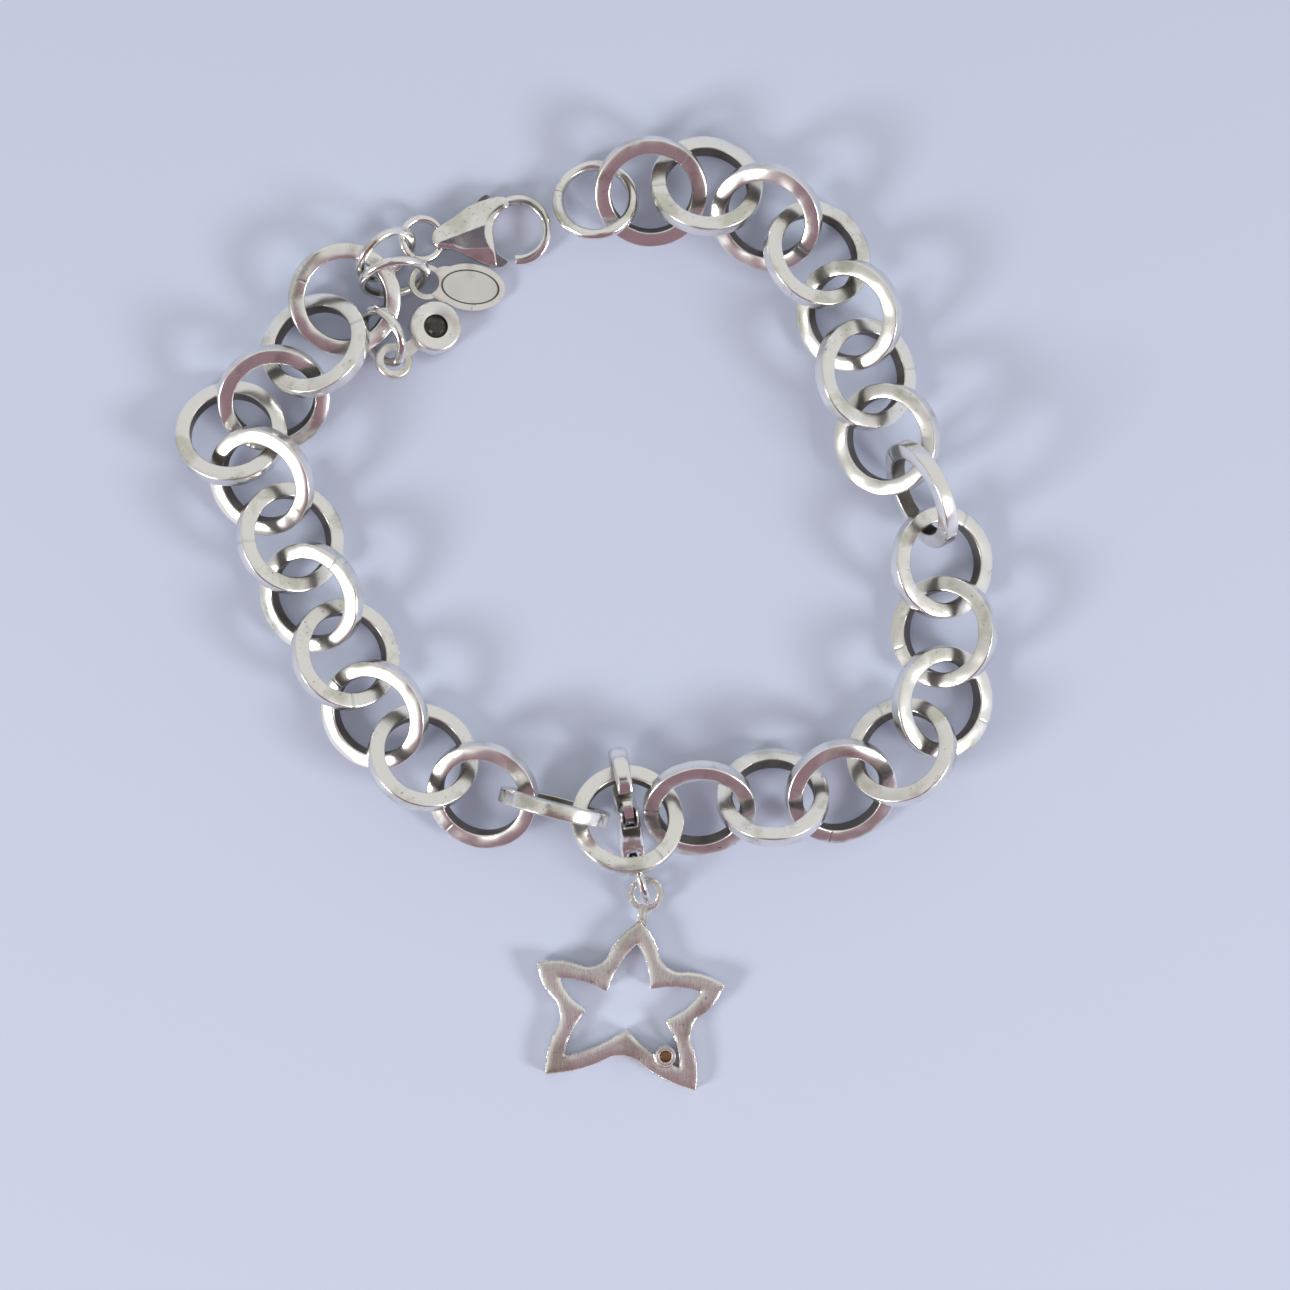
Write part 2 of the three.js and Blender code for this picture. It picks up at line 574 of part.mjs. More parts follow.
function starCharm(frame) {
  const corners = STAR_ARMS.flatMap((arm) => [polar(arm.tip, arm.reach), polar(arm.notch, arm.depth)]);
  const anticlockwise = [corners[0], ...corners.slice(1).reverse()];
  const outline = bowedStar(anticlockwise, STAR_TIP_ROUND, STAR_NOTCH_ROUND);
  const rim = slab(outline, STAR_THICKNESS, { steps: STAR_CURVE_STEPS });
  const inside = bowedStar(inset(anticlockwise), STAR_OPENING_ROUND, STAR_OPENING_ROUND);
  const opening = slab(inside, 2 * STAR_THICKNESS, { steps: STAR_CURVE_STEPS });
  const neckLength = starEyeRadius + STAR_NECK_LENGTH + STAR_TIP_ROUND;
  const neck = new THREE.BoxGeometry(neckLength, STAR_NECK, STAR_EYE_THICKNESS);
  neck.translate(-neckLength / 2, 0, 0).rotateZ(degToRad(STAR_EYE_BEARING)).translate(starEye.x, starEye.y, 0);
  const bezelAt = polar(STAR_ARMS[2].tip, STAR_BEZEL_REACH);
  const bezelHeight = STAR_THICKNESS + STAR_BEZEL_HEIGHT;
  const bezel = disc(STAR_BEZEL_DIAMETER / 2, bezelHeight, bezelAt.x, bezelAt.y);
  const seatRadius = STAR_STONE_DIAMETER / 2 + STONE_CLEARANCE;
  const seatDepth = STAR_STONE_DEPTH + STONE_CLEARANCE;
  const seat = disc(seatRadius, seatDepth * 2, bezelAt.x, bezelAt.y);
  const top = STAR_THICKNESS / 2 + STAR_BEZEL_HEIGHT;
  const solid = toSolid(rim)
    .subtract(toSolid(opening))
    .add(toSolid(neck))
    .add(toSolid(disc(starEyeRadius, STAR_EYE_THICKNESS, starEye.x, starEye.y)))
    .add(toSolid(bezel.translate(0, 0, STAR_BEZEL_HEIGHT / 2)))
    .subtract(toSolid(disc(STAR_EYE_HOLE / 2, 2 * STAR_THICKNESS, starEye.x, starEye.y)))
    .subtract(toSolid(seat.translate(0, 0, top)));
  add("star", toGeometry(solid), brushedSilver, frame);
  const gem = stone(STAR_STONE_DIAMETER, STAR_STONE_DEPTH).translate(bezelAt.x, bezelAt.y, top);
  add("star_stone", gem, brownStone, frame);
}

// The star's clasp, its ring and the star

function starOnItsClasp() {
  const over = wirePoint(CARRIER_LINK, CARRIER_HEADING);
  const frame = aimed(over, CARRIER_HEADING, CARRIER_PITCH, CARRIER_LEAN);
  const held = [hookHole.x + CARRIER_HANG.along, hookHole.y + CARRIER_HANG.above, CARRIER_HANG.across];
  const shift = pointIn(frame, ...held).sub(over);
  frame.setPosition(over.sub(shift));
  clasp("carrier", frame, CHARM_RING);

  const reach = middle(CHARM_RING);
  const tail = pointIn(frame, tailHoleX(CHARM_RING), 0, 0);
  const ringHeight = CHARM_RING.diameter / 2;
  const toRing = Math.sqrt(reach ** 2 - (tail.z - ringHeight) ** 2) - HOLE_SLACK;
  const centre = pointIn(aimed(tail, CHARM_RING_HEADING, 0, 0), toRing, 0, 0).setZ(ringHeight);
  const ring = aimed(centre, CHARM_RING_HEADING, 0, 0);
  add("charm_ring", wireRing(CHARM_RING), silver, ring);

  const slope = degToRad(STAR_SLOPE);
  const lowest = Math.max(...STAR_ARMS.map((arm) => -polar(arm.tip, arm.reach).y));
  const starHeight = lowest * Math.sin(slope) + (STAR_THICKNESS / 2) * Math.cos(slope);
  const eyeHeight = starHeight + starEye.y * Math.sin(slope);
  const toEye = Math.sqrt(reach ** 2 - (ringHeight - eyeHeight) ** 2) - 2 * HOLE_SLACK;
  const star = aimed(pointIn(ring, toEye, 0, 0).setZ(eyeHeight), 0, 0, 90 + STAR_SLOPE);
  starCharm(star.setPosition(pointIn(star, -starEye.x, -starEye.y, 0)));
}

chain();
mainClasp();
tag();
bezelDrop();
starOnItsClasp();

// The part's origin is on the table, below the middle of its box.
const box = new THREE.Box3().setFromObject(bracelet, true);
const boxCentre = box.getCenter(new THREE.Vector3());
bracelet.position.set(-boxCentre.x, -boxCentre.y, -box.min.z);

export default bracelet;
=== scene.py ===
# %% [markdown]
# # A silver charm bracelet
# The bracelet lies open on a pale table and is seen from straight above. Its shapes and places come from
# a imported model, which is loaded first. Each solid of that model is plain and faceted, so this lesson
# gives every one of them a finished mesh in the same place, and then a worn silver or stone finish.

import math

import bpy
import numpy as np
from mathutils import Matrix, Vector
from mathutils.kdtree import KDTree
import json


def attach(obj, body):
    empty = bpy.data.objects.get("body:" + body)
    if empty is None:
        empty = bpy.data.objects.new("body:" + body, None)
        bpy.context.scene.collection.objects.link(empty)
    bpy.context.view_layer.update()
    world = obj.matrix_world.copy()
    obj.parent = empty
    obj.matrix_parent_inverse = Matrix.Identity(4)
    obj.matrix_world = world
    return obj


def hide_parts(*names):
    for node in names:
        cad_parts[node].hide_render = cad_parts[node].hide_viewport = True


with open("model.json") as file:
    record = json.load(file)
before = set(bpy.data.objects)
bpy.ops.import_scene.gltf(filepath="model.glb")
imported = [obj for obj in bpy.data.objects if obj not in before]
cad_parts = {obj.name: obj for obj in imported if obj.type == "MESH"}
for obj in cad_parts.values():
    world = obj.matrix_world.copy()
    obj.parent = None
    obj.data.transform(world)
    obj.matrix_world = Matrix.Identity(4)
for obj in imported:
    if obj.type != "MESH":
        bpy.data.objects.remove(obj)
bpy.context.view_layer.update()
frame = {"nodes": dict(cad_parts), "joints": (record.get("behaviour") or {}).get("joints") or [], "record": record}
MILLIMETRE = 0.001
TOUCHING = 1e-7
print("solids in the model:", len(frame["nodes"]))

# %% [markdown]
# ## Where the camera stands
# The picture is square and was taken from above. A link is 8.5 mm across and covers 113 pixels, which
# gives the width of the view. The camera hangs over the middle of the picture, so one link whose pixel is
# known says where that is on the table.

# %% Read a solid's points
def points_of(node):
    mesh = frame["nodes"][node].data
    flat = np.empty(3 * len(mesh.vertices))
    mesh.vertices.foreach_get("co", flat)
    return np.unique(flat.reshape(-1, 3).round(7), axis=0)


first_link = Vector(points_of("link_01").mean(axis=0))
print("the first link's centre is at", [round(c / MILLIMETRE, 2) for c in first_link], "mm")

# %% Camera
PICTURE_PIXELS = 1290
LINK_PIXELS = 113
LINK_DIAMETER = 8.5 * MILLIMETRE
CAMERA_HEIGHT = 420 * MILLIMETRE
FIRST_LINK_PIXEL = (651, 191.5)

metres_per_pixel = LINK_DIAMETER / LINK_PIXELS * (CAMERA_HEIGHT - first_link.z) / CAMERA_HEIGHT
camera = bpy.data.objects.new("camera", bpy.data.cameras.new("camera"))
camera.location = (
    first_link.x - (FIRST_LINK_PIXEL[0] - PICTURE_PIXELS / 2) * metres_per_pixel,
    first_link.y + (FIRST_LINK_PIXEL[1] - PICTURE_PIXELS / 2) * metres_per_pixel,
    CAMERA_HEIGHT,
)
camera.data.sensor_width = 36
camera.data.lens = 36 * CAMERA_HEIGHT / (LINK_DIAMETER / LINK_PIXELS * PICTURE_PIXELS)
camera.data.clip_start = 0.01
camera.data.clip_end = 20
bpy.context.scene.collection.objects.link(camera)
bpy.context.scene.camera = camera
bpy.context.scene.view_settings.view_transform = "Standard"
print("camera at", [round(c / MILLIMETRE, 1) for c in camera.location], "mm")

# %% [markdown]
# ## Sums in a shader
# A finish is made of many small sums on noise and masks. One class wraps a socket, so that a sum can be
# written as Python and adds its Math nodes by itself. Every other node comes from its one method, which
# takes the node's type, its settings and what goes into its sockets.

# %% A socket that can be used in sums
class Flow:
    def __init__(self, tree, socket=None):
        self.tree = tree
        self.socket = socket

    def node(self, kind, settings=None, sockets=None, output=0):
        made = self.tree.nodes.new(kind)
        for name, value in (settings or {}).items():
            setattr(made, name, value)
        for name, value in (sockets or {}).items():
            if isinstance(value, Flow):
                self.tree.links.new(value.socket, made.inputs[name])
            else:
                made.inputs[name].default_value = value
        return Flow(self.tree, made.outputs[output])

    def math(self, operation, first, second):
        return self.node("ShaderNodeMath", {"operation": operation}, {0: first, 1: second})

    def __add__(self, other):
        return self.math("ADD", self, other)

    def __radd__(self, other):
        return self.math("ADD", other, self)

    def __sub__(self, other):
        return self.math("SUBTRACT", self, other)

    def __rsub__(self, other):
        return self.math("SUBTRACT", other, self)

    def __mul__(self, other):
        return self.math("MULTIPLY", self, other)

    def __rmul__(self, other):
        return self.math("MULTIPLY", other, self)

    def step(self, low, high):
        settings = {"interpolation_type": "SMOOTHSTEP"}
        return self.node("ShaderNodeMapRange", settings, {0: self, "From Min": low, "From Max": high})

    def mix(self, first, second):
        return self.node("ShaderNodeMix", {"data_type": "RGBA"}, {0: self, 6: first, 7: second}, output=2)


# %% [markdown]
# ## Table and light
# Silver shows what is round it, so the light matters as much as the finish. A pale tent stands over the
# table. It is bluer low down and greyer at the left, it has a mauve stretch on the near side that reaches
# almost to the top, and a dark patch hangs near the top, where the camera looks in. Each colour fills the
# part of the sky that points its way, which is a dot product. Two soft lamps stand low at the left and
# right. They give the bright edges and the soft ring shadows on both sides.

# %% Tent
TENT_COLOUR = (0.70, 0.695, 0.68, 1)
LOW_COLOUR = (0.66, 0.69, 0.76, 1)
LEFT_COLOUR = (0.50, 0.49, 0.47, 1)
MAUVE_COLOUR = (0.245, 0.145, 0.18, 1)
CAMERA_COLOUR = (0.075, 0.06, 0.09, 1)
LEFT_BEARING = 180
LEFT_ELEVATION = 20
MAUVE_BEARING = 282
MAUVE_SPREAD = 0.85
MAUVE_EDGE = 0.06
CAMERA_BEARING = 90
CAMERA_ELEVATION = 82.5

world = bpy.data.worlds.new("tent")
world.use_nodes = True
bpy.context.scene.world = world
background = world.node_tree.nodes["Background"]
sky = Flow(world.node_tree)
direction = sky.node("ShaderNodeTexCoord", output="Generated")


def towards(bearing, elevation):
    level = math.cos(math.radians(elevation))
    east, north = math.cos(math.radians(bearing)), math.sin(math.radians(bearing))
    aim = (east * level, north * level, math.sin(math.radians(elevation)))
    settings = {"operation": "DOT_PRODUCT"}
    return direction.node("ShaderNodeVectorMath", settings, {0: direction, 1: aim}, output=1)


aside = towards(MAUVE_BEARING + 90, 0)
aside = aside.node("ShaderNodeMath", {"operation": "ABSOLUTE"}, {0: aside})
near_side = (towards(MAUVE_BEARING, 0) - MAUVE_SPREAD * aside).step(-MAUVE_EDGE, MAUVE_EDGE)
upwards = towards(0, 90)
tent = upwards.step(0.1, 0.5).mix(LOW_COLOUR, TENT_COLOUR)
tent = towards(LEFT_BEARING, LEFT_ELEVATION).step(0.55, 0.98).mix(tent, LEFT_COLOUR)
tent = (near_side * upwards.step(0, 0.15)).mix(tent, MAUVE_COLOUR)
tent = towards(CAMERA_BEARING, CAMERA_ELEVATION).step(0.984, 0.994).mix(tent, CAMERA_COLOUR)
world.node_tree.links.new(tent.socket, background.inputs["Color"])
print("tent nodes:", len(world.node_tree.nodes))

# %% Lamps
LAMP_DISTANCE = 0.55
LAMP_SIZE = 0.16
LAMP_ELEVATION = 31
LAMPS = [
    {"name": "lamp_right", "bearing": -28, "watts": 1.25},
    {"name": "lamp_left", "bearing": -148, "watts": 1.3},
]


def lamp(name, bearing, watts):
    light = bpy.data.lights.new(name, "AREA")
    light.shape = "DISK"
    light.size = LAMP_SIZE
    light.energy = watts
    placed = bpy.data.objects.new(name, light)
    level = math.cos(math.radians(LAMP_ELEVATION))
    aim = Vector((
        math.cos(math.radians(bearing)) * level,
        math.sin(math.radians(bearing)) * level,
        math.sin(math.radians(LAMP_ELEVATION)),
    ))
    placed.location = aim * LAMP_DISTANCE
    placed.rotation_euler = aim.to_track_quat("Z", "Y").to_euler()
    bpy.context.scene.collection.objects.link(placed)


for row in LAMPS:
    lamp(**row)
print("lamps:", [row["name"] for row in LAMPS])

# %% Table top
TABLE_SIZE = 4
TABLE_COLOUR = (0.605, 0.66, 0.82, 1)

bpy.ops.object.select_all(action="DESELECT")
bpy.ops.mesh.primitive_plane_add(size=TABLE_SIZE)
table = bpy.context.object
table.name = "table_top"
paint = bpy.data.materials.new("pale_table")
paint.use_nodes = True
paint_shader = paint.node_tree.nodes["Principled BSDF"]
paint_shader.inputs["Base Color"].default_value = TABLE_COLOUR
paint_shader.inputs["Roughness"].default_value = 0.55
paint_shader.inputs["Specular IOR Level"].default_value = 0.25
table.data.materials.append(paint)
print("table top is", TABLE_SIZE, "m wide")

# %% [markdown]
# ## Silver
# Worn silver is a metal with a warm grey white colour and a few dull olive patches. Its faces aren't
# flat, so what they mirror breaks up along them. Fine scratches soften it and small dark pits lie here and
# there. Hollows, slots and places where parts lie close together get a painted shade: their colour is
# mixed towards a dark brown, and they are made rougher and less metallic. A piece's mesh says where that
# painted shade goes, in one attribute, and where it was soldered, in one named solder. One function makes
# the finish, and its few numbers give the links, the polished rings and clasps, the satin tag and bezel,
# and the brushed star their own.

# %% Silver finish
SILVER_COLOUR = (0.90, 0.885, 0.85, 1)
WORN_COLOUR = (0.68, 0.675, 0.59, 1)
# Dark brown for the small pits, and for the painted shade in hollows, slots and between touching links.
PIT_AND_SHADE_COLOUR = (0.075, 0.058, 0.042, 1)
SOLDER_COLOUR = (0.66, 0.71, 0.65, 1)
PATCH_SCALE = 420
PIT_SCALE = 5200
STREAK_SCALE = 9000
STREAK_DEPTH = 0.01 * MILLIMETRE
WAVE_SCALE = 330
WAVE_DEPTH = 1.5 * MILLIMETRE


def noise(flow, scale, detail=2, stretch=(1, 1, 1)):
    place = flow.node("ShaderNodeTexCoord", output="Object")
    place = place.node("ShaderNodeMapping", sockets={0: place, "Scale": stretch})
    settings = {"Vector": place, "Scale": scale, "Detail": detail}
    return place.node("ShaderNodeTexNoise", sockets=settings)


def attribute(flow, name):
    return flow.node("ShaderNodeAttribute", {"attribute_name": name}, output="Fac")


def bumped(height, depth, strength, under=None):
    sockets = {"Height": height, "Distance": depth, "Strength": strength}
    if under:
        sockets["Normal"] = under
    return height.node("ShaderNodeBump", sockets=sockets)


def silver(name, roughness, waves, brush=(1, 1, 1), brushing=0.1):
    material = bpy.data.materials.new(name)
    material.use_nodes = True
    shader = material.node_tree.nodes["Principled BSDF"]
    flow = Flow(material.node_tree)
    shade_mask = attribute(flow, "painted_shade")
    solder = attribute(flow, "solder")
    patches = noise(flow, PATCH_SCALE, detail=4)
    pits = noise(flow, PIT_SCALE).step(0.66, 0.73) * patches.step(0.42, 0.56)
    streaks = noise(flow, STREAK_SCALE, detail=3, stretch=brush)
    colour = patches.step(0.5, 0.68).mix(SILVER_COLOUR, WORN_COLOUR)
    colour = (pits * 0.75).mix(colour, PIT_AND_SHADE_COLOUR)
    colour = (solder * 0.7).mix(colour, SOLDER_COLOUR)
    # Painted shade: where the mesh asks for it, the colour goes towards dark brown and the silver gets rougher and
    # less metallic.
    shade_amount = shade_mask * (0.78 + 0.3 * patches)
    colour = shade_amount.mix(colour, PIT_AND_SHADE_COLOUR)
    uneven = bumped(noise(flow, WAVE_SCALE, detail=1), WAVE_DEPTH, waves)
    scratched = bumped(streaks, STREAK_DEPTH, brushing, under=uneven)
    links = material.node_tree.links
    links.new(colour.socket, shader.inputs["Base Color"])
    links.new((roughness + 0.12 * streaks + 0.25 * shade_amount).socket, shader.inputs["Roughness"])
    links.new((1 - 0.35 * shade_amount).socket, shader.inputs["Metallic"])
    links.new(scratched.socket, shader.inputs["Normal"])
    return material


link_silver = silver("silver_of_the_links", 0.18, 0.24, brushing=0.35)
polished_silver = silver("polished_silver", 0.1, 0.08, brushing=0.06)
satin_silver = silver("satin_silver", 0.28, 0.05, brushing=0.25)
brushed_silver = silver("brushed_silver", 0.22, 0.08, brush=(1, 0.1, 1), brushing=0.9)
print("silver finishes:", [m.name for m in bpy.data.materials if "silver" in m.name])

# %% [markdown]
# ## What the stones look like
# Both stones are dark and cut with facets, and their brown varies a little inside. The larger one is worn
# dull and the small one is still glossy, so each has its own roughness on the same plain dielectric.

# %% Stone finish
STONE_CLOUD_SCALE = 1600


def stone_finish(name, deep, light, roughness):
    material = bpy.data.materials.new(name)
    material.use_nodes = True
    shader = material.node_tree.nodes["Principled BSDF"]
    flow = Flow(material.node_tree)
    colour = noise(flow, STONE_CLOUD_SCALE, detail=3).step(0.3, 0.75).mix(deep, light)
    material.node_tree.links.new(colour.socket, shader.inputs["Base Color"])
    shader.inputs["Roughness"].default_value = roughness
    shader.inputs["IOR"].default_value = 1.6
    return material


dark_stone = stone_finish("dark_stone", (0.018, 0.013, 0.012, 1), (0.055, 0.045, 0.038, 1), 0.35)
brown_stone = stone_finish("brown_stone", (0.07, 0.025, 0.006, 1), (0.19, 0.08, 0.02, 1), 0.12)
print("stone finishes:", dark_stone.name, brown_stone.name)

# %% [markdown]
# ## Working in edit mode
# Loading leaves solids selected, and a new primitive is selected all over. So each step first clears the
# selection, and picks points by their place. A finished piece gets its material, stands for its solid,
# and moves with that solid's body.

# %% Small helpers
def begin(piece):
    if bpy.context.mode != "OBJECT":
        bpy.ops.object.mode_set(mode="OBJECT")
    bpy.ops.object.select_all(action="DESELECT")
    piece.select_set(True)
    bpy.context.view_layer.objects.active = piece


def edit(piece, chosen=None):
    begin(piece)
    bpy.ops.object.mode_set(mode="EDIT")
    bpy.ops.mesh.select_mode(type="VERT")
    bpy.ops.mesh.select_all(action="SELECT" if chosen is None else "DESELECT")
    if chosen is not None:
        bpy.ops.object.mode_set(mode="OBJECT")
        for point in piece.data.vertices:
            point.select = bool(chosen(point.co))
        bpy.ops.object.mode_set(mode="EDIT")


def leave():
    bpy.ops.object.mode_set(mode="OBJECT")


def applied(piece, kind, **settings):
    begin(piece)
    modifier = piece.modifiers.new(kind.lower(), kind)
    for name, value in settings.items():
        setattr(modifier, name, value)
    bpy.ops.object.modifier_apply(modifier=modifier.name)


def fixed(piece):
    begin(piece)
    bpy.ops.object.transform_apply(location=True, rotation=True, scale=True)


def smooth(piece, angle=35):
    begin(piece)
    bpy.ops.object.shade_smooth_by_angle(angle=math.radians(angle))


def note(piece, name, value_at):
    mesh = piece.data
    stored = mesh.attributes.new(name, "FLOAT", "POINT")
    values = [value_at(point.co, point.normal) for point in mesh.vertices]
    stored.data.foreach_set("value", values)


def copy_of(piece, name):
    made = piece.copy()
    made.data = piece.data.copy()
    made.name = name
    made.data.name = name
    bpy.context.scene.collection.objects.link(made)
    return made


body_of = {node: body for body, nodes in frame["record"]["behaviour"]["bodies"].items() for node in nodes}


def finish(piece, node, material):
    piece.data.materials.clear()
    piece.data.materials.append(material)
    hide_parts(node)
    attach(piece, body_of[node])


print("bodies:", sorted(set(body_of.values())))

# %% [markdown]
# ## One chain link
# Each link is bent from square wire and soldered shut. A small square is laid across the wire, its
# corners are rounded, and it is spun once round the link's axis. Its faces are then crowned along their
# middle and fall a little outwards, as worn faces do, and a hairline groove marks the solder. Its inner
# wall is noted for painted shade, which stands in for the shade and dark reflections inside the ring.

# %% Size of a link, from the model
LINK_SIDES = 16
link_points = points_of("link_01") - np.array(first_link)
link_axis = np.linalg.svd(link_points, full_matrices=False)[2][2]
heights = link_points @ link_axis
reaches = np.linalg.norm(link_points - np.outer(heights, link_axis), axis=1)
link_height = heights.max() - heights.min()
link_reach = reaches.max() * (1 + math.cos(math.pi / LINK_SIDES)) / 2
link_width = reaches.max() - reaches.min()
link_sizes = [round(size / MILLIMETRE, 3) for size in (link_reach, link_width, link_height)]
print("link radius, wire width and height in mm:", link_sizes)

# %% Lay a square across the wire
WIRE_ROUND = 0.12 * MILLIMETRE
LINK_STEPS = 120

bpy.ops.object.select_all(action="DESELECT")
middle_reach = link_reach - link_width / 2
across_wire = (math.pi / 2, 0, 0)
bpy.ops.mesh.primitive_plane_add(size=1, location=(middle_reach, 0, 0), rotation=across_wire)
link = bpy.context.object
link.name = "link"
link.scale = (link_width, link_height, 1)
fixed(link)
edit(link)
bpy.ops.mesh.bevel(offset=WIRE_ROUND, segments=4, affect="VERTICES")
bpy.ops.mesh.delete(type="ONLY_FACE")
edit(link, lambda place: abs(place.z) > link_height / 2 - TOUCHING)
bpy.ops.mesh.subdivide(number_cuts=4)
leave()
print("points across the wire:", len(link.data.vertices))

# %% Spin it and crown its faces
FACE_CROWN = 0.05 * MILLIMETRE
FACE_FALL = 0.04 * MILLIMETRE


def close_up(piece):
    edit(piece)
    bpy.ops.mesh.remove_doubles(threshold=TOUCHING)
    bpy.ops.mesh.select_all(action="SELECT")
    bpy.ops.mesh.normals_make_consistent(inside=False)
    leave()


edit(link)
bpy.ops.mesh.spin(steps=LINK_STEPS, angle=2 * math.pi, center=(0, 0, 0), axis=(0, 0, 1))
leave()
close_up(link)
for point in link.data.vertices:
    off_middle = (point.co.xy.length - middle_reach) / (link_width / 2)
    lowered = FACE_CROWN * off_middle ** 2 + FACE_FALL * (1 + off_middle)
    point.co.z *= 1 - lowered / (link_height / 2)
print("link faces:", len(link.data.polygons))

# %% Mark the solder
GROOVE_WIDTH = 0.05 * MILLIMETRE
GROOVE_DEPTH = 0.02 * MILLIMETRE
INWARDS_FROM = 0.8


def at_joint(place):
    return abs(place.y) < TOUCHING and place.x > 0


edit(link, at_joint)
bpy.ops.mesh.bevel(offset=GROOVE_WIDTH, segments=2, affect="EDGES")
edit(link, at_joint)
bpy.ops.transform.shrink_fatten(value=-GROOVE_DEPTH)
leave()
smooth(link, 50)


def inner_wall(place, normal):
    inwards = -normal.xy.dot(place.xy.normalized())
    return min(max((inwards - INWARDS_FROM) / (1 - INWARDS_FROM), 0), 1)


def near_joint(place, normal):
    return 1.0 if place.x > 0 and abs(place.y) < 2 * GROOVE_WIDTH else 0.0


# Painted shade on the inner wall of the link.
note(link, "painted_shade", inner_wall)
note(link, "solder", near_joint)
print("points beside the solder:", sum(near_joint(point.co, None) > 0 for point in link.data.vertices))

# %% [markdown]
# ## All the links
# The model's link lies where its own points are. Their middle is its centre, and the direction in which
# they spread least is its axis. Each copy is turned and moved to that place, with its solder at another
# bearing. Where a link lies close to the next one, shade is painted on: each point near a neighbour
# gets a little painted shade, more the closer it lies.

# %% Copy the link to its places
SOLDER_TURN = 137.5


def ring_place(node, turn=0):
    points = points_of(node)
    centre = points.mean(axis=0)
    axis = Vector(np.linalg.svd(points - centre, full_matrices=False)[2][2])
    if axis.z < 0:
        axis.negate()
    across = axis.orthogonal().normalized()
    across.rotate(Matrix.Rotation(math.radians(turn), 3, axis))
    turned = Matrix((across, axis.cross(across), axis)).transposed().to_4x4()
    return Matrix.Translation(Vector(centre)) @ turned


def put(piece, place):
    piece.matrix_world = place
    fixed(piece)


link_nodes = sorted(node for node in frame["nodes"] if node.startswith("link_"))
worn_links = []
for number, node in enumerate(link_nodes):
    made = copy_of(link, "worn_" + node)
    put(made, ring_place(node, number * SOLDER_TURN))
    finish(made, node, link_silver)
    worn_links.append(made)
bpy.data.objects.remove(link)
print("links:", len(worn_links))

# %% Painted shade where links touch
SHADE_REACH = 0.9 * MILLIMETRE
CONTACT_SHADE = 0.55

# Painted shade: each point of a link near its neighbours is darkened, more the closer it lies.
for number, made in enumerate(worn_links):
    beside = worn_links[max(number - 1, 0):number] + worn_links[number + 1:number + 2]
    stored = made.data.attributes["painted_shade"].data
    for point, value in zip(made.data.vertices, stored):
        for other in beside:
            near = other.closest_point_on_mesh(point.co, distance=SHADE_REACH)
            if near[0]:
                closeness = 1 - (near[1] - point.co).length / SHADE_REACH
                value.value = max(value.value, CONTACT_SHADE * closeness)
first_shade = worn_links[0].data.attributes["painted_shade"].data
print("shaded points of the first link:", sum(value.value > 0 for value in first_shade))

# %% [markdown]
# ## Rings of round wire
# The joining rings are bent from round wire, and each has a hairline gap where its ends meet. A circle is
# spun almost all the way round, and both ends are then closed.

# %% Bend the rings
RING_STEPS = 96
RING_GAP = 0.04 * MILLIMETRE
WIRE_FILL = 0.97
WIRE_SIDES = 24
RING_SHADE = 0.45
RING_NODES = {
    "end_ring": 120,
    "joining_ring": 40,
    "clasp_ring": 200,
    "tag_ring": 150,
    "bezel_ring": 200,
    "charm_ring": 10,
}


def wire_ring(node, turn):
    place = ring_place(node, turn)
    level = np.array([place.inverted() @ Vector(point) for point in points_of(node)])
    spread = np.linalg.norm(level[:, :2], axis=1)
    wire = (spread.max() - spread.min()) / 2 * WIRE_FILL
    reach = (spread.max() + spread.min()) / 2 * (1 + math.cos(math.pi / LINK_SIDES)) / 2
    bpy.ops.object.select_all(action="DESELECT")
    bpy.ops.mesh.primitive_circle_add(
        vertices=WIRE_SIDES, radius=wire, location=(reach, 0, 0), rotation=across_wire
    )
    ring = bpy.context.object
    ring.name = "bent_" + node
    fixed(ring)
    edit(ring)
    round_to_gap = 2 * math.pi - RING_GAP / reach
    bpy.ops.mesh.spin(steps=RING_STEPS, angle=round_to_gap, center=(0, 0, 0), axis=(0, 0, 1))
    bpy.ops.mesh.select_all(action="SELECT")
    bpy.ops.mesh.fill_holes(sides=0)
    leave()
    close_up(ring)
    smooth(ring, 50)
    # Painted shade on the inner side of the ring, weaker than on the links.
    note(ring, "painted_shade", lambda place, normal: RING_SHADE * inner_wall(place, normal))
    put(ring, place)
    finish(ring, node, polished_silver)
    return ring


for node, turn in RING_NODES.items():
    wire_ring(node, turn)
print("rings:", list(RING_NODES))

# %% [markdown]
# ## Castings
# The clasps, their levers and the star are cast, so all their edges are soft. A copy of the model's solid
# is rebuilt in small even faces, and its edges are then worn round by smoothing. This keeps every slot
# and hole.

# %% Rebuild a solid as a casting
CAD_TOUCHING = 1e-6


def casting(node, grain, wear):
    mesh = frame["nodes"][node].data.copy()
    piece = bpy.data.objects.new("cast_" + node, mesh)
    bpy.context.scene.collection.objects.link(piece)
    edit(piece)
    bpy.ops.mesh.remove_doubles(threshold=CAD_TOUCHING)
    leave()
    applied(piece, "REMESH", mode="VOXEL", voxel_size=grain)
    applied(piece, "SMOOTH", factor=0.5, iterations=wear)
    begin(piece)
    bpy.ops.object.shade_smooth()
    return piece


print("castings are rebuilt by voxels")

